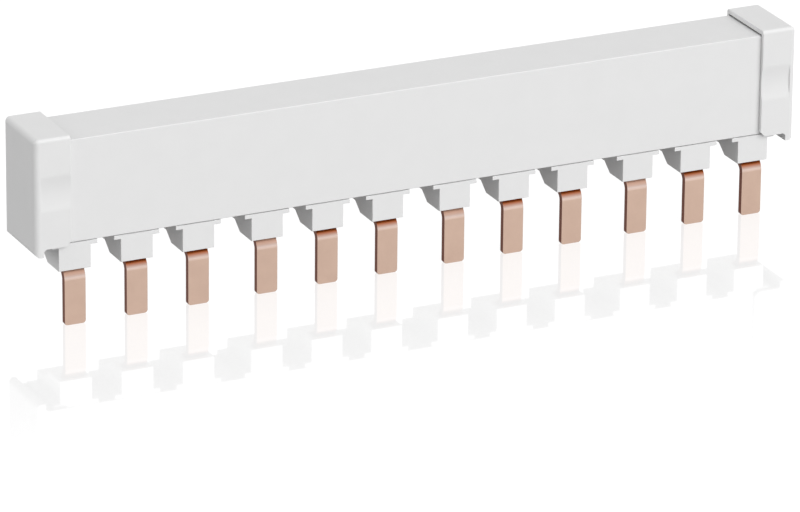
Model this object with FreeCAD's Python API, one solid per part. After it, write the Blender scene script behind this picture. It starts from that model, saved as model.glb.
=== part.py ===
import FreeCAD, Part
import math
import os

# Comb busbar for three phases and four device groups, pins down, in millimetres.
# X runs along the bar, the front faces -Y, Z is up.
# Z = 0 is at the pin tips and Y = 0 is the plane of the pins' front faces.

# Pin row
GROUP_COUNT = 4
GROUP_PITCH = 45.0
PHASE_PITCH = 14.4
PHASE_NAMES = ("l1", "l2", "l3")
PIN_WIDTH = 4.9
PIN_TIP_ROUND = 0.7
PIN_REACH = 12.68

# Copper strips
STRIP_THICKNESS = 1.4
STRIP_HEIGHT = 16.0
STRIP_SPACING = 4.0
STRIP_END_ROUND = 1.0
STRIP_STEM = 0.9
BEND_INNER_RADIUS = 1.3
BEND_BELOW_TOOTH = 2.42
FIRST_PHASE_LEAN = 32.0
OTHER_PHASE_LEAN = 53.0
COPPER_EDGE_ROUND = 0.12

# Housing cover
HOUSING_FRONT_LEAD = 0.25
HOUSING_HEAD_ROOM = 3.87
HOUSING_WALL = 1.2
HOUSING_EDGE_ROUND = 0.2
HOUSING_END_MARGIN = 7.4
HOUSING_LIP_ROUND = 0.15
CAP_SEAT_DEPTH = 0.25
CAP_SEAT_AHEAD = 0.25

# Comb base
TOOTH_SIDE_WALL = 1.05
TOOTH_SHIFT = -0.11
TOOTH_SLOPE_WALL = 1.2
TOOTH_BACK_WALL = 0.6
TOOTH_STEP_RISE = 2.03
TOOTH_EDGE_ROUND = 0.1
FLANGE_OVERHANG = 1.54
FLANGE_HEIGHT = 1.07
FLANGE_EDGE_ROUND = 0.12
SHADOW_GAP_HEIGHT = 0.15
SHADOW_GAP_DEPTH = 0.8
BASE_FLOOR = 2.2
RAIL_HEIGHT = 5.0
RAIL_THICKNESS = 0.9
GROOVE_DEPTH = 0.8
GROOVE_END_STOP = 2.0

# Phase separators
SEPARATOR_THICKNESS = 1.0

# End caps
CAP_LENGTH = 8.3
CAP_WALL = 0.85
CAP_ROOF_WALL = 1.0
CAP_END_WALL = 1.95
CAP_END_DROP = 1.8
CAP_RIM_ABOVE_FLANGE_FOOT = 0.72
CAP_OUTER_ROUND = 1.2
CAP_TOP_ROUND = 0.75
CAP_FOOT_ROUND = 0.8
CAP_RIM_ROUND = 0.2
CAP_MOUTH_CORNER = 1.1
GRIP_HEIGHT = 7.8
GRIP_CORNER_DEPTH = 0.5
GRIP_HOLLOW_ROUND = 20.0
GRIP_EDGE_ROUND = 5.0
GRIP_END_MARGIN = 1.3

# Clearances between pieces
SLIP_GAP = 0.1
CAP_GAP = 0.17
CAP_ROOF_GAP = 0.3
PIN_GAP = 0.2
STRIP_END_GAP = 2.0
STRIP_SIDE_GAP = 0.75

# Depths, worked out from the front plane backwards
FRONT_Y = -HOUSING_FRONT_LEAD
INNER_FRONT_Y = FRONT_Y + HOUSING_WALL
FRONT_STRIP_Y = INNER_FRONT_Y + SLIP_GAP + RAIL_THICKNESS + STRIP_SIDE_GAP + STRIP_THICKNESS / 2
MIDDLE_Y = FRONT_STRIP_Y + STRIP_SPACING
BACK_Y = 2 * MIDDLE_Y - FRONT_Y
INNER_BACK_Y = BACK_Y - HOUSING_WALL
PIN_MIDDLE_Y = STRIP_THICKNESS / 2

# Heights of the bends, and of all that follows from the rear strip's upper bend
MIDDLE_RADIUS = BEND_INNER_RADIUS + STRIP_THICKNESS / 2
REAR_LEAN = math.radians(OTHER_PHASE_LEAN)
REAR_OFFSET = MIDDLE_Y + STRIP_SPACING - PIN_MIDDLE_Y
BEND_START_Z = PIN_REACH - BEND_BELOW_TOOTH
BEND_REACH = MIDDLE_RADIUS * math.tan(REAR_LEAN / 2)
FLOOR_TOP_Z = BEND_START_Z + 2 * BEND_REACH + REAR_OFFSET / math.tan(REAR_LEAN) + STRIP_STEM
SEAM_Z = FLOOR_TOP_Z - BASE_FLOOR
FLANGE_FOOT_Z = SEAM_Z - FLANGE_HEIGHT
STRIP_TOP_Z = FLOOR_TOP_Z + STRIP_HEIGHT
ROOF_Z = STRIP_TOP_Z + HOUSING_HEAD_ROOM
TOP_Z = ROOF_Z + HOUSING_WALL

# Lengths and widths
HOUSING_HALF_LENGTH = (GROUP_COUNT - 1) / 2 * GROUP_PITCH + PHASE_PITCH + HOUSING_END_MARGIN
STRIP_HALF_LENGTH = HOUSING_HALF_LENGTH - STRIP_END_GAP
SEPARATOR_HALF_LENGTH = HOUSING_HALF_LENGTH - GROOVE_END_STOP
TOOTH_WIDTH = PIN_WIDTH + 2 * (PIN_GAP + TOOTH_SIDE_WALL)
TOOTH_BACK_Y = MIDDLE_Y + STRIP_SPACING + STRIP_THICKNESS / 2 + PIN_GAP + TOOTH_BACK_WALL
TOOTH_STEP_Z = PIN_REACH + TOOTH_STEP_RISE
FLANGE_WIDTH = TOOTH_WIDTH + 2 * FLANGE_OVERHANG

# End caps
CAP_OUTER_X = HOUSING_HALF_LENGTH + CAP_GAP + CAP_END_WALL
CAP_MOUTH_X = CAP_OUTER_X - CAP_LENGTH
CAP_RIM_Z = FLANGE_FOOT_Z + CAP_RIM_ABOVE_FLANGE_FOOT
CAP_FOOT_Z = CAP_RIM_Z - CAP_END_DROP
CAP_PROUD = CAP_WALL + CAP_GAP
CAP_TOP_Z = TOP_Z + CAP_ROOF_GAP + CAP_ROOF_WALL
GRIP_Z = (CAP_RIM_Z + CAP_TOP_Z) / 2

# Directions, and the cosine above which an edge counts as running along one
NEARLY_ALONG = math.cos(math.radians(1.0))
ALONG_X = FreeCAD.Vector(1, 0, 0)
ALONG_Y = FreeCAD.Vector(0, 1, 0)
ALONG_Z = FreeCAD.Vector(0, 0, 1)


def phase_y(phase):
    """Depth of a phase's strip, at the middle of its thickness."""
    return MIDDLE_Y + (phase - 1) * STRIP_SPACING


def phase_lean(phase):
    """Angle from upright of the slanted stretch between strip and pin."""
    return FIRST_PHASE_LEAN if phase == 0 else OTHER_PHASE_LEAN


def pin_x(group, phase):
    """Place of one pin along the bar."""
    group_middle = (group - (GROUP_COUNT - 1) / 2) * GROUP_PITCH
    return group_middle + (phase - 1) * PHASE_PITCH


def all_pins():
    """Every pin as its group and phase."""
    return [(group, phase) for group in range(GROUP_COUNT) for phase in range(len(PHASE_NAMES))]


def box(x0, x1, y0, y1, z0, z1):
    """Box between two corners."""
    return Part.makeBox(x1 - x0, y1 - y0, z1 - z0, FreeCAD.Vector(x0, y0, z0))


def rounded_wire(points, radii):
    """Closed outline in the YZ plane with the given radius at each corner."""
    count = len(points)
    corners = [FreeCAD.Vector(0, y, z) for y, z in points]
    starts = []
    ends = []
    middles = []
    for index, corner in enumerate(corners):
        to_last = (corners[index - 1] - corner).normalize()
        to_next = (corners[(index + 1) % count] - corner).normalize()
        half_corner = to_last.getAngle(to_next) / 2
        reach = radii[index] / math.tan(half_corner)
        inward = (to_last + to_next).normalize()
        to_centre = radii[index] / math.sin(half_corner)
        starts.append(corner + to_last * reach)
        ends.append(corner + to_next * reach)
        middles.append(corner + inward * (to_centre - radii[index]))
    edges = []
    for index in range(count):
        if radii[index] > 0:
            edges.append(Part.Arc(starts[index], middles[index], ends[index]).toShape())
        edges.append(Part.LineSegment(ends[index], starts[(index + 1) % count]).toShape())
    return Part.Wire(edges)


def extrude_outline(points, radii, x0, x1):
    """Solid with a YZ outline, running from x0 to x1."""
    face = Part.Face(rounded_wire(points, radii))
    face.translate(FreeCAD.Vector(x0, 0, 0))
    return face.extrude(FreeCAD.Vector(x1 - x0, 0, 0))


def edges_along(shape, direction, inside):
    """Straight edges that run along a direction and whose middle passes a test."""
    chosen = []
    for edge in shape.Edges:
        if edge.Curve.TypeId != "Part::GeomLine":
            continue
        start = edge.Vertexes[0].Point
        end = edge.Vertexes[-1].Point
        along = abs((end - start).normalize().dot(direction))
        if along > NEARLY_ALONG and inside((start + end) / 2):
            chosen.append(edge)
    return chosen


def close_to(value, target):
    """Whether two lengths are the same place."""
    return abs(value - target) < SLIP_GAP / 2


def bend_heights(phase):
    """Heights where the middle line of a bent tab turns, below and above."""
    lean = math.radians(phase_lean(phase))
    lower = BEND_START_Z + MIDDLE_RADIUS * math.tan(lean / 2)
    upper = lower + (phase_y(phase) - PIN_MIDDLE_Y) / math.tan(lean)
    return lower, upper


def tab_outline(phase, grow, bottom, top):
    """Outline of a pin, its slanted stretch and the stem under the strip, grown by a gap."""
    lean = math.radians(phase_lean(phase))
    lower, upper = bend_heights(phase)
    half = STRIP_THICKNESS / 2 + grow
    shift = half * math.tan(lean / 2)
    back = phase_y(phase)
    points = [
        (PIN_MIDDLE_Y - half, bottom),
        (PIN_MIDDLE_Y + half, bottom),
        (PIN_MIDDLE_Y + half, lower - shift),
        (back + half, upper - shift),
        (back + half, top),
        (back - half, top),
        (back - half, upper + shift),
        (PIN_MIDDLE_Y - half, lower + shift),
    ]
    tight = BEND_INNER_RADIUS - grow
    wide = BEND_INNER_RADIUS + STRIP_THICKNESS + grow
    radii = [0, 0, tight, wide, 0, 0, tight, wide]
    return points, radii


def make_tab(group, phase):
    """One pin with its bends, up into the strip, its tip corners rounded."""
    points, radii = tab_outline(phase, 0.0, 0.0, FLOOR_TOP_Z + STRIP_END_ROUND)
    middle = pin_x(group, phase)
    tab = extrude_outline(points, radii, middle - PIN_WIDTH / 2, middle + PIN_WIDTH / 2)
    tips = edges_along(tab, ALONG_Y, lambda point: close_to(point.z, 0))
    tab = tab.makeFillet(PIN_TIP_ROUND, tips)
    sides = [edge for edge in tab.Edges if is_long_side(edge)]
    return tab.makeFillet(COPPER_EDGE_ROUND, sides)


def is_long_side(edge):
    """Whether an edge of a tab follows its bent outline or its tip."""
    across = abs(edge.tangentAt(edge.FirstParameter).y) > NEARLY_ALONG
    return not across and min(vertex.Z for vertex in edge.Vertexes) < FLOOR_TOP_Z


def make_strip(phase):
    """Flat strip of one phase, standing on edge, with rounded top corners."""
    y0 = phase_y(phase) - STRIP_THICKNESS / 2
    y1 = phase_y(phase) + STRIP_THICKNESS / 2
    strip = box(-STRIP_HALF_LENGTH, STRIP_HALF_LENGTH, y0, y1, FLOOR_TOP_Z, STRIP_TOP_Z)
    corners = edges_along(strip, ALONG_Y, lambda point: True)
    return strip.makeFillet(STRIP_END_ROUND, corners)


def make_bar(phase):
    """One phase's copper bar: a strip with one pin for each device group."""
    tabs = [make_tab(group, phase) for group in range(GROUP_COUNT)]
    return make_strip(phase).multiFuse(tabs).removeSplitter()


def make_housing_cover():
    """Upper housing: an inverted channel with its top edges rounded and a seat for the caps at both ends."""
    half = HOUSING_HALF_LENGTH
    outer = box(-half, half, FRONT_Y, BACK_Y, SEAM_Z, TOP_Z)
    tops = edges_along(outer, ALONG_X, lambda point: close_to(point.z, TOP_Z))
    outer = outer.makeFillet(HOUSING_EDGE_ROUND, tops)
    room = box(-half, half, INNER_FRONT_Y, INNER_BACK_Y, SEAM_Z, ROOF_Z)
    seat_x = CAP_MOUTH_X - CAP_SEAT_AHEAD
    seat_z = TOP_Z - CAP_SEAT_DEPTH
    left_seat = box(-half, -seat_x, FRONT_Y, BACK_Y, seat_z, TOP_Z)
    right_seat = box(seat_x, half, FRONT_Y, BACK_Y, seat_z, TOP_Z)
    cover = outer.cut(Part.makeCompound([room, left_seat, right_seat]))
    lips = edges_along(cover, ALONG_X, lambda point: close_to(point.z, SEAM_Z))
    return cover.makeFillet(HOUSING_LIP_ROUND, lips)


def tooth_outline():
    """Side outline of a tooth: upright front, level floor, a slanted step up, a higher floor and the back."""
    root = SEAM_Z - SHADOW_GAP_HEIGHT
    return [
        (FRONT_Y, root),
        (FRONT_Y, PIN_REACH),
        (slope_y(PIN_REACH), PIN_REACH),
        (slope_y(TOOTH_STEP_Z), TOOTH_STEP_Z),
        (TOOTH_BACK_Y, TOOTH_STEP_Z),
        (TOOTH_BACK_Y, root),
    ]


def slope_y(height):
    """Depth of the tooth's slanted step at a height, one wall below the rear phases' tabs."""
    lower = bend_heights(len(PHASE_NAMES) - 1)[0]
    reach = STRIP_THICKNESS / 2 + PIN_GAP + TOOTH_SLOPE_WALL
    return PIN_MIDDLE_Y + ((height - lower) * math.sin(REAR_LEAN) + reach) / math.cos(REAR_LEAN)


def make_tooth(group, phase):
    """Outer form of one tooth with the flange that the housing's walls stand on."""
    points = tooth_outline()
    middle = pin_x(group, phase) + TOOTH_SHIFT
    tooth = extrude_outline(points, [0] * len(points), middle - TOOTH_WIDTH / 2, middle + TOOTH_WIDTH / 2)
    fronts = edges_along(tooth, ALONG_Z, lambda point: close_to(point.y, FRONT_Y))
    fronts += edges_along(tooth, ALONG_X, lambda point: close_to(point.z, PIN_REACH))
    return tooth.makeFillet(TOOTH_EDGE_ROUND, fronts).fuse(make_flange(middle))


def make_flange(middle):
    """Plate at a tooth's root, stepped down at front and back for a fine shadow gap."""
    x0 = middle - FLANGE_WIDTH / 2
    x1 = middle + FLANGE_WIDTH / 2
    gap_z = SEAM_Z - SHADOW_GAP_HEIGHT
    plate = box(x0, x1, FRONT_Y, BACK_Y, FLANGE_FOOT_Z, gap_z)
    rims = edges_along(plate, ALONG_X, lambda point: True)
    seat = box(x0, x1, FRONT_Y + SHADOW_GAP_DEPTH, BACK_Y - SHADOW_GAP_DEPTH, gap_z, SEAM_Z)
    return plate.makeFillet(FLANGE_EDGE_ROUND, rims).fuse(seat)


def make_passage(group, phase):
    """Room for one bent tab through the base, with a gap all round."""
    points, radii = tab_outline(phase, PIN_GAP, 0.0, FLOOR_TOP_Z + STRIP_END_ROUND)
    half = PIN_WIDTH / 2 + PIN_GAP
    middle = pin_x(group, phase)
    return extrude_outline(points, radii, middle - half, middle + half)


def separator_y(index):
    """Depth of a separator, midway between two strips."""
    return (phase_y(index) + phase_y(index + 1)) / 2


def make_comb_base():
    """Lower moulding: floor, two rails inside the housing walls, grooves and the teeth."""
    y0 = INNER_FRONT_Y + SLIP_GAP
    y1 = INNER_BACK_Y - SLIP_GAP
    half = HOUSING_HALF_LENGTH
    rail_top = FLOOR_TOP_Z + RAIL_HEIGHT
    floor = box(-half, half, y0, y1, SEAM_Z, FLOOR_TOP_Z)
    front_rail = box(-half, half, y0, y0 + RAIL_THICKNESS, SEAM_Z, rail_top)
    back_rail = box(-half, half, y1 - RAIL_THICKNESS, y1, SEAM_Z, rail_top)
    teeth = [make_tooth(group, phase) for group, phase in all_pins()]
    base = floor.multiFuse([front_rail, back_rail] + teeth).removeSplitter()
    cuts = [make_passage(group, phase) for group, phase in all_pins()]
    cuts += [make_groove(index) for index in range(len(PHASE_NAMES) - 1)]
    return base.cut(Part.makeCompound(cuts))


def make_groove(index):
    """Groove in the base's floor that holds a separator's foot."""
    half_length = SEPARATOR_HALF_LENGTH + SLIP_GAP
    half_width = SEPARATOR_THICKNESS / 2 + SLIP_GAP
    middle = separator_y(index)
    foot = FLOOR_TOP_Z - GROOVE_DEPTH
    return box(-half_length, half_length, middle - half_width, middle + half_width, foot, STRIP_TOP_Z)


def make_separator(index):
    """Thin insulating strip between two phases, from its groove up to the roof."""
    middle = separator_y(index)
    half = SEPARATOR_THICKNESS / 2
    length = SEPARATOR_HALF_LENGTH
    foot = FLOOR_TOP_Z - GROOVE_DEPTH
    passages = [make_passage(group, phase) for group, phase in all_pins() if phase > index]
    strip = box(-length, length, middle - half, middle + half, foot, ROOF_Z)
    return strip.cut(Part.makeCompound(passages))


def make_cap_shell():
    """Left end cap's outer form, its rim raised so that only the end wall reaches the foot."""
    y0 = FRONT_Y - CAP_PROUD
    y1 = BACK_Y + CAP_PROUD
    shell = box(-CAP_OUTER_X, -CAP_MOUTH_X, y0, y1, CAP_FOOT_Z, CAP_TOP_Z)
    ends = edges_along(shell, ALONG_Z, lambda point: close_to(point.x, -CAP_OUTER_X))
    ends += edges_along(shell, ALONG_Y, lambda point: close_to(point.x, -CAP_OUTER_X))
    shell = shell.makeFillet(CAP_OUTER_ROUND, ends)
    tops = edges_along(shell, ALONG_X, lambda point: close_to(point.z, CAP_TOP_Z))
    shell = shell.makeFillet(CAP_TOP_ROUND, tops)
    rim = [edge for edge in shell.Edges if is_at_mouth(edge)]
    return shell.makeFillet(CAP_RIM_ROUND, rim)


def is_at_mouth(edge):
    """Whether an edge of the cap's shell lies round its mouth, apart from the foot."""
    ends_there = all(close_to(vertex.X, -CAP_MOUTH_X) for vertex in edge.Vertexes)
    return ends_there and max(vertex.Z for vertex in edge.Vertexes) > CAP_FOOT_Z + CAP_RIM_ROUND


def make_cap_foot_cut():
    """What is taken away under the cap's rim, with a hollow corner at the end wall."""
    y0 = FRONT_Y - CAP_PROUD - SLIP_GAP
    y1 = BACK_Y + CAP_PROUD + SLIP_GAP
    wall = -CAP_OUTER_X + CAP_END_WALL
    cut = box(wall, -CAP_MOUTH_X + SLIP_GAP, y0, y1, CAP_FOOT_Z - CAP_END_DROP, CAP_RIM_Z)
    corner = edges_along(cut, ALONG_Y, lambda point: close_to(point.x, wall) and close_to(point.z, CAP_RIM_Z))
    return cut.makeFillet(CAP_FOOT_ROUND, corner)


def make_cap_room():
    """Room inside the cap for the end of the housing and its base."""
    x0 = -HOUSING_HALF_LENGTH - CAP_GAP
    y0 = FRONT_Y - CAP_GAP
    y1 = BACK_Y + CAP_GAP
    roof = TOP_Z + CAP_ROOF_GAP
    room = box(x0, -CAP_MOUTH_X + SLIP_GAP, y0, y1, CAP_FOOT_Z - CAP_END_DROP, roof)
    tops = edges_along(room, ALONG_X, lambda point: close_to(point.z, roof))
    return room.makeFillet(HOUSING_EDGE_ROUND, tops)


def make_grips():
    """Shallow finger grips scooped out of the cap's front and back at mid height, their edges eased."""
    x0 = -CAP_OUTER_X + GRIP_END_MARGIN
    x1 = -CAP_MOUTH_X + SLIP_GAP
    half = GRIP_HEIGHT / 2
    reach = half + GRIP_EDGE_ROUND
    radii = [0, 0, GRIP_EDGE_ROUND, GRIP_HOLLOW_ROUND, GRIP_EDGE_ROUND, 0, 0]
    grips = []
    for face_y, inward in ((FRONT_Y - CAP_PROUD, 1), (BACK_Y + CAP_PROUD, -1)):
        outside_y = face_y - inward * CAP_WALL
        points = [
            (outside_y, GRIP_Z - reach),
            (face_y, GRIP_Z - reach),
            (face_y, GRIP_Z - half),
            (face_y + inward * GRIP_CORNER_DEPTH, GRIP_Z),
            (face_y, GRIP_Z + half),
            (face_y, GRIP_Z + reach),
            (outside_y, GRIP_Z + reach),
        ]
        grips.append(extrude_outline(points, radii, x0, x1))
    return grips


def make_mouth_corners():
    """Triangular prisms that take the lower mouth corners off the cap's side walls."""
    size = CAP_MOUTH_CORNER
    y0 = FRONT_Y - CAP_PROUD - SLIP_GAP
    y1 = BACK_Y + CAP_PROUD + SLIP_GAP
    points = [
        FreeCAD.Vector(-CAP_MOUTH_X - size, y0, CAP_RIM_Z),
        FreeCAD.Vector(-CAP_MOUTH_X, y0, CAP_RIM_Z + size),
        FreeCAD.Vector(-CAP_MOUTH_X, y0, CAP_RIM_Z),
    ]
    face = Part.Face(Part.makePolygon(points + points[:1]))
    return face.extrude(FreeCAD.Vector(0, y1 - y0, 0))


def make_end_cap_left():
    """Left end cap: a five-sided shell pushed over the end of the housing."""
    cap = make_cap_shell().cut(make_cap_room())
    cap = cap.cut(make_cap_foot_cut())
    cap = cap.cut(make_mouth_corners())
    return cap.cut(Part.makeCompound(make_grips())).removeSplitter()


def make_end_cap_right():
    """Right end cap, the mirror image of the left one."""
    return make_end_cap_left().mirror(FreeCAD.Vector(0, 0, 0), ALONG_X)


def export(name, shape):
    """Write one piece as its own STEP file."""
    if not shape.isValid():
        raise ValueError(name + " is not a valid solid")
    solids = shape.Solids
    if len(solids) != 1:
        raise ValueError(name + " has " + str(len(solids)) + " solids")
    solids[0].exportStep("parts/" + name + ".step")
    print(name, round(solids[0].Volume, 1))


def main():
    """Build and write every piece."""
    os.makedirs("parts", exist_ok=True)
    export("housing_cover", make_housing_cover())
    export("comb_base", make_comb_base())
    for phase, name in enumerate(PHASE_NAMES):
        export("bar_" + name, make_bar(phase))
    export("separator_front", make_separator(0))
    export("separator_rear", make_separator(1))
    export("end_cap_left", make_end_cap_left())
    export("end_cap_right", make_end_cap_right())


main()
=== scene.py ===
import math

import bmesh
import bpy
from mathutils import Matrix, Vector

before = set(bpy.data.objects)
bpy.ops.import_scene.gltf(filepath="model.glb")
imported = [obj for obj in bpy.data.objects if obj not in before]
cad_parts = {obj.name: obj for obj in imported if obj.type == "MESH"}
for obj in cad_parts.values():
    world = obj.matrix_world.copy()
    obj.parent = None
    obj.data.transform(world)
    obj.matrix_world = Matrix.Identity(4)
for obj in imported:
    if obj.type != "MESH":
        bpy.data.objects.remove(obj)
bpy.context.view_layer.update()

bl_info = {
    "name": "Comb busbar",
    "version": (1, 0, 0),
    "blender": (4, 5, 0),
    "location": "View3D > Sidebar > Comb busbar",
    "description": "Finishes, stage, lamps and camera for a three-phase comb busbar",
    "category": "Object",
}

MM = 0.001
SHELL_NODES = ("housing_cover", "comb_base", "end_cap_left", "end_cap_right")
BAR_NODES = ("bar_l1", "bar_l2", "bar_l3")
SEPARATOR_NODES = ("separator_front", "separator_rear")

# Moulded skin: real grain is finer, and is drawn as wide as the render needs to show it.
# The grain holds the sheen below the usual 0.5.
PLASTIC_IOR = 1.48
PLASTIC_SHEEN = 0.3
GRAIN_DEPTH = 0.02 * MM
FLOW_WIDTH_IN_GRAINS = 25.0

# Rolled copper: real rolling lines are finer too, and are drawn as wide as the render needs
LINE_DEPTH = 0.01 * MM
LINE_SHORTENING = 0.06
CLOUD_WIDTH_IN_LINES = 12.5
TARNISH_MOST = 0.07

# Where a bend turns from its painted highlight to its painted shade under the tooth, as the upward share
# of its surface's direction
SLIGHT_BEND_SHADE_LEAN = (0.23, 0.52)
STRONG_BEND_SHADE_LEAN = (0.17, 0.63)

# Floor: its coat bends light more than plain acrylic does, to mirror as clearly as in the photograph.
# The mirror image fades out over a stretch in front of the pins.
WHITE = "FFFFFF"
FLOOR_COAT_IOR = 2.1
FADE_START_Y = -30.0 * MM
FADE_END_Y = -72.0 * MM

# Lamps, aimed at the middle of the busbar
LAMP_TARGET = Vector((0, 0, 30.0 * MM))
FRONT_BOX_PLACE = (1.0, -2.87, 1.24)
FRONT_BOX_SIZE = 4.0
LEFT_BOX_PLACE = (-2.4, 0.3, 1.0)
LEFT_BOX_SIZE = 1.6

# Camera
SENSOR_WIDTH_MM = 36.0
CLIP_NEAR = 0.05
CLIP_FAR = 50.0


def linear(hex_colour):
    """An sRGB colour written as six hex digits, as linear red, green, blue and full alpha."""
    parts = [int(hex_colour[i:i + 2], 16) / 255 for i in (0, 2, 4)]
    return [c / 12.92 if c <= 0.04045 else ((c + 0.055) / 1.055) ** 2.4 for c in parts] + [1.0]


def add_node(tree, kind, settings=None, inputs=None, links=None):
    """Add one shader node, set its properties and sockets, and link sockets to other nodes' outputs."""
    node = tree.nodes.new(kind)
    for key, value in (settings or {}).items():
        setattr(node, key, value)
    for key, value in (inputs or {}).items():
        node.inputs[key].default_value = value
    for key, output in (links or {}).items():
        tree.links.new(output, node.inputs[key])
    return node


def new_material(name):
    """An empty node material with its output node."""
    material = bpy.data.materials.new(name)
    material.use_nodes = True
    material.node_tree.nodes.clear()
    output = add_node(material.node_tree, "ShaderNodeOutputMaterial")
    return material, material.node_tree, output


class BusbarFinish(bpy.types.PropertyGroup):
    """Colours and finishes of the busbar's pieces."""

    housing_colour: bpy.props.StringProperty(
        name="Housing colour",
        description="Light grey of the moulded housing, sRGB hex", default="E0E0E0")
    base_colour: bpy.props.StringProperty(
        name="Base colour", description="Light grey of the toothed base, sRGB hex", default="E0E0E0")
    cap_colour: bpy.props.StringProperty(
        name="Cap colour", description="Light grey of the end caps, sRGB hex", default="E0E0E0")
    separator_colour: bpy.props.StringProperty(
        name="Separator colour",
        description="Grey of the insulating strips inside, sRGB hex", default="D0D0D0")
    copper_colour: bpy.props.StringProperty(
        name="Copper colour",
        description="Bare rolled copper on the pins' faces, sRGB hex", default="CBAF9E")
    # Painted highlight: paler copper where the outside of a bend turns slightly upward
    copper_highlight_colour: bpy.props.StringProperty(
        name="Painted highlight copper colour",
        description="Paler copper painted as the highlight where a bend turns slightly upward, sRGB hex",
        default="D6C0B6")
    # Painted shade: warmer copper where a slight bend leans back under its tooth
    copper_slight_shade_colour: bpy.props.StringProperty(
        name="Slight bend shade colour", default="D3AA95",
        description="Painted shade: warmer copper where a slight bend leans back under its tooth, sRGB hex")
    # Painted shade: redder copper where a strong bend leans back under its tooth
    copper_strong_shade_colour: bpy.props.StringProperty(
        name="Strong bend shade colour", default="B56130",
        description="Painted shade: redder copper where a strong bend leans back under its tooth, sRGB hex")
    copper_edge_colour: bpy.props.StringProperty(
        name="Copper edge colour",
        description="Darker copper of the punched edges, sRGB hex", default="693F31")
    plastic_roughness: bpy.props.FloatProperty(
        name="Plastic roughness",
        description="Roughness of the moulded skin", default=0.45, min=0.0, max=1.0,
        subtype="FACTOR")
    copper_roughness: bpy.props.FloatProperty(
        name="Copper roughness",
        description="Roughness of the rolled copper face", default=0.34, min=0.0, max=1.0,
        subtype="FACTOR")
    grain_size: bpy.props.FloatProperty(
        name="Grain size",
        description="Size of the moulded skin's grain", default=0.25 * MM, min=0.01 * MM,
        unit="LENGTH", precision=6)
    rolling_line_spacing: bpy.props.FloatProperty(
        name="Rolling line spacing", description="Distance between rolling lines on the copper",
        default=0.35 * MM, min=0.01 * MM, unit="LENGTH", precision=6)


class BusbarStage(bpy.types.PropertyGroup):
    """Sizes and levels of the stage, the lamps and the camera."""

    floor_size: bpy.props.FloatProperty(
        name="Floor size", description="Side of the square floor", default=12.0, min=1.0, unit="LENGTH")
    floor_colour: bpy.props.StringProperty(
        name="Floor colour",
        description="Grey of the floor under its white, which takes the shadow, sRGB hex",
        default="818181")
    floor_glow: bpy.props.FloatProperty(
        name="Floor glow",
        description="White added where the camera or a gloss sees the floor", default=0.70,
        min=0.0, max=2.0)
    floor_fade: bpy.props.FloatProperty(
        name="Floor fade",
        description="White added towards the front, where the mirror image fades out",
        default=0.05, min=0.0, max=1.0)
    floor_gloss: bpy.props.FloatProperty(
        name="Floor gloss",
        description="Roughness of the floor's mirror coat", default=0.03, min=0.0, max=1.0,
        subtype="FACTOR")
    sky_level: bpy.props.FloatProperty(
        name="Sky level",
        description="Light that the surroundings cast on the object, where 1 is their white",
        default=0.58, min=0.0, max=1.0, subtype="FACTOR")
    front_box_power: bpy.props.FloatProperty(
        name="Front box power",
        description="Power of the large soft box in front", default=128.5, min=0.0,
        unit="POWER")
    left_box_power: bpy.props.FloatProperty(
        name="Left box power",
        description="Power of the small soft box on the left", default=12.5, min=0.0,
        unit="POWER")
    camera_azimuth: bpy.props.FloatProperty(
        name="Camera azimuth", description="Turn of the view from straight ahead to the right",
        default=math.radians(25.437), subtype="ANGLE")
    camera_elevation: bpy.props.FloatProperty(
        name="Camera elevation",
        description="Angle that the view looks down", default=math.radians(21.256),
        subtype="ANGLE")
    camera_roll: bpy.props.FloatProperty(
        name="Camera roll", description="Turn of the camera about its own view line",
        default=math.radians(0.576), subtype="ANGLE")
    camera_lens: bpy.props.FloatProperty(
        name="Camera lens",
        description="Focal length of the long lens, on a 36 mm sensor", default=294.8,
        min=10.0)
    camera_place: bpy.props.FloatVectorProperty(
        name="Camera place",
        description="Where the camera stands, from the middle of the pin row", size=3,
        default=(-0.5789, -1.2065, 0.5233), subtype="TRANSLATION", unit="LENGTH")


def finish_of(context):
    """The finish settings of the scene."""
    return context.scene.busbar_finish


def stage_of(context):
    """The stage settings of the scene."""
    return context.scene.busbar_stage


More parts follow.
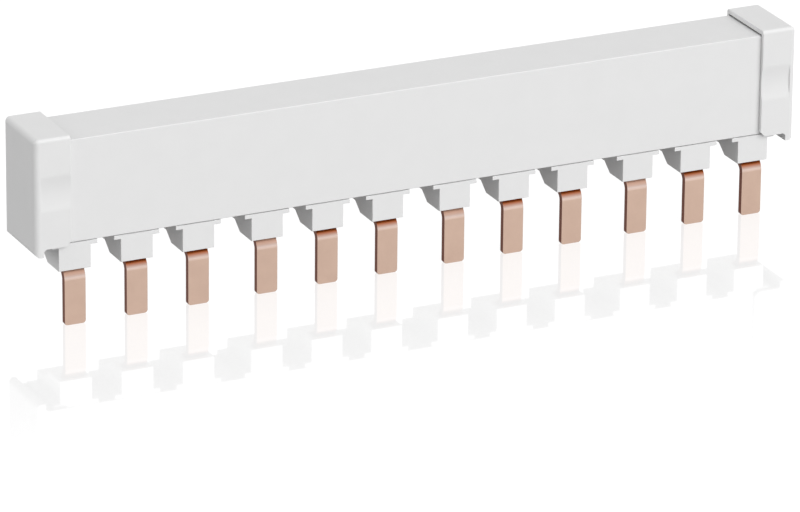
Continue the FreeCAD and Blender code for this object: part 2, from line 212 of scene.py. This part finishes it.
def moulded_plastic(name, colour, roughness, grain):
    """Glass-filled polyamide from a lightly textured mould.

    The eye sees a pale, even grey with a soft broad sheen that the grain holds down, a very
    fine grain in the sheen and hardly visible shifts of tone where the melt flowed.
    """
    material, tree, output = new_material(name)
    place = add_node(tree, "ShaderNodeTexCoord")
    flow = add_node(
        tree, "ShaderNodeTexNoise",
        inputs={"Scale": 1.0 / (FLOW_WIDTH_IN_GRAINS * grain), "Detail": 2.0, "Roughness": 0.5},
        links={"Vector": place.outputs["Object"]})
    tone = add_node(
        tree, "ShaderNodeMapRange",
        inputs={"From Min": 0.3, "From Max": 0.7, "To Min": 0.985, "To Max": 1.0},
        links={"Value": flow.outputs["Fac"]})
    tint = add_node(
        tree, "ShaderNodeMix", settings={"data_type": "RGBA", "blend_type": "MULTIPLY"},
        inputs={"Factor": 1.0, "A": linear(colour)})
    tree.links.new(tone.outputs["Result"], tint.inputs["B"])
    skin = add_node(
        tree, "ShaderNodeTexNoise", inputs={"Scale": 1.0 / grain, "Detail": 3.0, "Roughness": 0.6},
        links={"Vector": place.outputs["Object"]})
    bump = add_node(
        tree, "ShaderNodeBump", inputs={"Strength": 0.12, "Distance": GRAIN_DEPTH},
        links={"Height": skin.outputs["Fac"]})
    sheen = add_node(
        tree, "ShaderNodeMapRange",
        inputs={"From Min": 0.3, "From Max": 0.7, "To Min": roughness - 0.04, "To Max": roughness + 0.06},
        links={"Value": skin.outputs["Fac"]})
    shader = add_node(
        tree, "ShaderNodeBsdfPrincipled",
        inputs={"IOR": PLASTIC_IOR, "Specular IOR Level": PLASTIC_SHEEN, "Metallic": 0.0},
        links={"Base Color": tint.outputs["Result"], "Roughness": sheen.outputs["Result"],
               "Normal": bump.outputs["Normal"]})
    tree.links.new(shader.outputs["BSDF"], output.inputs["Surface"])
    return material


def rolled_copper(name, finish, shade_colour, shade_lean):
    """Bare electrolytic copper strip, rolled flat and punched.

    The rolled faces show a pale pink-brown metal with faint lines along the pins. The bends
    carry a painted highlight, paler copper where they turn slightly upward, and painted shade,
    warmer darker copper where they lean back under the teeth, between the two upward shares in
    shade_lean. The side faces, where the strip was punched, are drawn darker and duller.
    """
    roughness = finish.copper_roughness
    line_spacing = finish.rolling_line_spacing
    material, tree, output = new_material(name)
    place = add_node(tree, "ShaderNodeTexCoord")
    stretch = add_node(
        tree, "ShaderNodeMapping", inputs={"Scale": (1.0, 1.0, LINE_SHORTENING)},
        links={"Vector": place.outputs["Object"]})
    lines = add_node(
        tree, "ShaderNodeTexNoise",
        inputs={"Scale": 1.0 / line_spacing, "Detail": 4.0, "Roughness": 0.55},
        links={"Vector": stretch.outputs["Vector"]})
    cloud = add_node(
        tree, "ShaderNodeTexNoise",
        inputs={"Scale": 1.0 / (CLOUD_WIDTH_IN_LINES * line_spacing), "Detail": 3.0, "Roughness": 0.6},
        links={"Vector": place.outputs["Object"]})
    facing = add_node(tree, "ShaderNodeSeparateXYZ", links={"Vector": place.outputs["Normal"]})
    side = add_node(
        tree, "ShaderNodeMath", settings={"operation": "ABSOLUTE"}, links={0: facing.outputs["X"]})
    # Darker, duller copper on the side faces, where the strip was punched
    edge = add_node(
        tree, "ShaderNodeMapRange", settings={"interpolation_type": "SMOOTHSTEP"},
        inputs={"From Min": 0.55, "From Max": 0.9, "To Min": 0.0, "To Max": 1.0},
        links={"Value": side.outputs["Value"]})
    tarnish = add_node(
        tree, "ShaderNodeMapRange",
        inputs={"From Min": 0.35, "From Max": 0.75, "To Min": 0.0, "To Max": TARNISH_MOST},
        links={"Value": cloud.outputs["Fac"]})
    darker_tone = add_node(
        tree, "ShaderNodeMath", settings={"operation": "MAXIMUM"},
        links={0: edge.outputs["Result"], 1: tarnish.outputs["Result"]})
    # Painted highlight: paler copper where a face turns slightly upward, on the outside of the bends
    painted_highlight = add_node(
        tree, "ShaderNodeMapRange", settings={"interpolation_type": "SMOOTHSTEP"},
        inputs={"From Min": 0.0, "From Max": 0.22, "To Min": 0.0, "To Max": 1.0},
        links={"Value": facing.outputs["Z"]})
    # Painted shade: warmer, darker copper where a bend leans back under its shaded tooth
    painted_shade = add_node(
        tree, "ShaderNodeMapRange", settings={"interpolation_type": "SMOOTHSTEP"},
        inputs={"From Min": shade_lean[0], "From Max": shade_lean[1], "To Min": 0.0, "To Max": 1.0},
        links={"Value": facing.outputs["Z"]})
    highlit_copper = add_node(
        tree, "ShaderNodeMix", settings={"data_type": "RGBA"},
        inputs={"A": linear(finish.copper_colour), "B": linear(finish.copper_highlight_colour)},
        links={"Factor": painted_highlight.outputs["Result"]})
    face = add_node(
        tree, "ShaderNodeMix", settings={"data_type": "RGBA"}, inputs={"B": linear(shade_colour)},
        links={"Factor": painted_shade.outputs["Result"], "A": highlit_copper.outputs["Result"]})
    tint = add_node(
        tree, "ShaderNodeMix", settings={"data_type": "RGBA"},
        inputs={"B": linear(finish.copper_edge_colour)},
        links={"Factor": darker_tone.outputs["Value"], "A": face.outputs["Result"]})
    dull = add_node(
        tree, "ShaderNodeMapRange",
        inputs={"From Min": 0.0, "From Max": 1.0, "To Min": roughness, "To Max": roughness + 0.2},
        links={"Value": edge.outputs["Result"]})
    bump = add_node(
        tree, "ShaderNodeBump", inputs={"Strength": 0.15, "Distance": LINE_DEPTH},
        links={"Height": lines.outputs["Fac"]})
    shader = add_node(
        tree, "ShaderNodeBsdfPrincipled", inputs={"Metallic": 1.0},
        links={"Base Color": tint.outputs["Result"], "Roughness": dull.outputs["Result"],
               "Normal": bump.outputs["Normal"]})
    tree.links.new(shader.outputs["BSDF"], output.inputs["Surface"])
    return material


def seen_by_eye_or_gloss(tree):
    """A value of 1 for rays from the camera, a gloss or a glass, and 0 for light on the object."""
    path = add_node(tree, "ShaderNodeLightPath")
    eye_or_gloss = add_node(
        tree, "ShaderNodeMath", settings={"operation": "MAXIMUM"},
        links={0: path.outputs["Is Camera Ray"], 1: path.outputs["Is Glossy Ray"]})
    return add_node(
        tree, "ShaderNodeMath", settings={"operation": "MAXIMUM"},
        links={0: eye_or_gloss.outputs["Value"], 1: path.outputs["Is Transmission Ray"]})


def glossy_floor(name, stage):
    """White glossy acrylic sheet: it looks white, mirrors faintly and keeps a soft shadow.

    Its white grows a little towards the front, so that the mirror image fades out there.
    """
    material, tree, output = new_material(name)
    place = add_node(tree, "ShaderNodeTexCoord")
    across = add_node(tree, "ShaderNodeSeparateXYZ", links={"Vector": place.outputs["Object"]})
    white = add_node(
        tree, "ShaderNodeMapRange", settings={"interpolation_type": "SMOOTHSTEP"},
        inputs={"From Min": FADE_START_Y, "From Max": FADE_END_Y, "To Min": stage.floor_glow,
                "To Max": stage.floor_glow + stage.floor_fade},
        links={"Value": across.outputs["Y"]})
    seen = seen_by_eye_or_gloss(tree)
    glow = add_node(
        tree, "ShaderNodeMath", settings={"operation": "MULTIPLY"},
        links={0: seen.outputs["Value"], 1: white.outputs["Result"]})
    shader = add_node(
        tree, "ShaderNodeBsdfPrincipled",
        inputs={"Base Color": linear(stage.floor_colour), "Roughness": stage.floor_gloss,
                "IOR": FLOOR_COAT_IOR, "Emission Color": linear(WHITE)},
        links={"Emission Strength": glow.outputs["Value"]})
    tree.links.new(shader.outputs["BSDF"], output.inputs["Surface"])
    return material


def assign(piece, material):
    """Give a piece one material in all its slots."""
    piece.data.materials.clear()
    piece.data.materials.append(material)
    for face in piece.data.polygons:
        face.material_index = 0


class BUSBAR_OT_shells(bpy.types.Operator):
    """Give the housing, the toothed base and the end caps their moulded finish"""

    bl_idname = "busbar.shells"
    bl_label = "Housing, base and caps"

    def execute(self, context):
        finish = finish_of(context)
        looks = {
            "housing_cover": moulded_plastic(
                "housing_polyamide", finish.housing_colour, finish.plastic_roughness, finish.grain_size),
            "comb_base": moulded_plastic(
                "base_polyamide", finish.base_colour, finish.plastic_roughness, finish.grain_size),
        }
        cap = moulded_plastic(
            "cap_polyamide", finish.cap_colour, finish.plastic_roughness, finish.grain_size)
        looks["end_cap_left"] = cap
        looks["end_cap_right"] = cap
        for node in SHELL_NODES:
            assign(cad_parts[node], looks[node])
        return {"FINISHED"}


class BUSBAR_OT_bars(bpy.types.Operator):
    """Give the three copper bars their rolled and punched finish, with painted highlight and painted
    shade on the bends
    """

    bl_idname = "busbar.bars"
    bl_label = "Copper bars"

    def execute(self, context):
        finish = finish_of(context)
        # Each bar's copper carries painted shade under its tooth, deeper on the strongly bent bars
        slight = rolled_copper(
            "bar_copper_slight_bend", finish, finish.copper_slight_shade_colour, SLIGHT_BEND_SHADE_LEAN)
        strong = rolled_copper(
            "bar_copper_strong_bend", finish, finish.copper_strong_shade_colour, STRONG_BEND_SHADE_LEAN)
        for node, copper in zip(BAR_NODES, (slight, strong, strong)):
            assign(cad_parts[node], copper)
        return {"FINISHED"}


class BUSBAR_OT_separators(bpy.types.Operator):
    """Give the insulating strips between the bars their finish"""

    bl_idname = "busbar.separators"
    bl_label = "Phase separators"

    def execute(self, context):
        finish = finish_of(context)
        strip = moulded_plastic(
            "separator_polyamide", finish.separator_colour, finish.plastic_roughness, finish.grain_size)
        for node in SEPARATOR_NODES:
            assign(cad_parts[node], strip)
        return {"FINISHED"}


def add_floor(stage):
    """Square floor at the height of the pin tips."""
    mesh = bpy.data.meshes.new("floor")
    work = bmesh.new()
    bmesh.ops.create_grid(work, x_segments=1, y_segments=1, size=stage.floor_size / 2)
    work.to_mesh(mesh)
    work.free()
    floor = bpy.data.objects.new("floor", mesh)
    bpy.context.scene.collection.objects.link(floor)
    floor.data.materials.append(glossy_floor("floor_acrylic", stage))


def add_world(stage):
    """Plain white surroundings: full white to the eye and in a gloss, dimmer as light on the object."""
    world = bpy.data.worlds.new("studio")
    bpy.context.scene.world = world
    world.use_nodes = True
    tree = world.node_tree
    tree.nodes.clear()
    output = add_node(tree, "ShaderNodeOutputWorld")
    seen = seen_by_eye_or_gloss(tree)
    level = add_node(
        tree, "ShaderNodeMapRange", inputs={"To Min": stage.sky_level, "To Max": 1.0},
        links={"Value": seen.outputs["Value"]})
    sky = add_node(
        tree, "ShaderNodeBackground", inputs={"Color": linear(WHITE)},
        links={"Strength": level.outputs["Result"]})
    tree.links.new(sky.outputs["Background"], output.inputs["Surface"])


def add_lamp(name, place, size, watts):
    """Square soft box aimed at the middle of the busbar."""
    data = bpy.data.lights.new(name, "AREA")
    data.shape = "SQUARE"
    data.size = size
    data.energy = watts
    lamp = bpy.data.objects.new(name, data)
    lamp.location = place
    lamp.rotation_mode = "QUATERNION"
    lamp.rotation_quaternion = (Vector(place) - LAMP_TARGET).to_track_quat("Z", "Y")
    lamp.visible_camera = False
    lamp.visible_glossy = False
    bpy.context.scene.collection.objects.link(lamp)


def add_camera(stage):
    """Long lens at the photograph's viewing angle."""
    data = bpy.data.cameras.new("camera")
    data.lens = stage.camera_lens
    data.sensor_width = SENSOR_WIDTH_MM
    data.clip_start = CLIP_NEAR
    data.clip_end = CLIP_FAR
    camera = bpy.data.objects.new("camera", data)
    turn = Matrix.Rotation(-stage.camera_azimuth, 4, "Z")
    tilt = Matrix.Rotation(math.pi / 2 - stage.camera_elevation, 4, "X")
    roll = Matrix.Rotation(stage.camera_roll, 4, "Z")
    camera.matrix_world = Matrix.Translation(stage.camera_place) @ turn @ tilt @ roll
    bpy.context.scene.collection.objects.link(camera)
    bpy.context.scene.camera = camera


class BUSBAR_OT_stage(bpy.types.Operator):
    """Add the floor, the surroundings, the lamps and the camera"""

    bl_idname = "busbar.stage"
    bl_label = "Stage, lamps and camera"

    def execute(self, context):
        stage = stage_of(context)
        add_floor(stage)
        add_world(stage)
        add_lamp("front_box", FRONT_BOX_PLACE, FRONT_BOX_SIZE, stage.front_box_power)
        add_lamp("left_box", LEFT_BOX_PLACE, LEFT_BOX_SIZE, stage.left_box_power)
        add_camera(stage)
        context.scene.view_settings.view_transform = "Standard"
        return {"FINISHED"}


class BUSBAR_PT_panel(bpy.types.Panel):
    """Sidebar panel that lists the busbar's pieces and settings"""

    bl_idname = "BUSBAR_PT_panel"
    bl_label = "Comb busbar"
    bl_space_type = "VIEW_3D"
    bl_region_type = "UI"
    bl_category = "Comb busbar"

    def draw(self, context):
        for operator in OPERATORS:
            self.layout.operator(operator.bl_idname)
        for group in (finish_of(context), stage_of(context)):
            for name in group.bl_rna.properties.keys():
                if name not in ("rna_type", "name"):
                    self.layout.prop(group, name)


OPERATORS = (BUSBAR_OT_shells, BUSBAR_OT_bars, BUSBAR_OT_separators, BUSBAR_OT_stage)
CLASSES = (BusbarFinish, BusbarStage, *OPERATORS, BUSBAR_PT_panel)


def register():
    """Register the classes and hang the settings on the scene."""
    for item in CLASSES:
        bpy.utils.register_class(item)
    bpy.types.Scene.busbar_finish = bpy.props.PointerProperty(type=BusbarFinish)
    bpy.types.Scene.busbar_stage = bpy.props.PointerProperty(type=BusbarStage)


def unregister():
    """Take the settings and the classes away again."""
    del bpy.types.Scene.busbar_stage
    del bpy.types.Scene.busbar_finish
    for item in reversed(CLASSES):
        bpy.utils.unregister_class(item)


def main():
    """Dress the busbar and set its stage."""
    register()
    bpy.ops.busbar.shells()
    bpy.ops.busbar.bars()
    bpy.ops.busbar.separators()
    bpy.ops.busbar.stage()


if __name__ == "__main__":
    main()
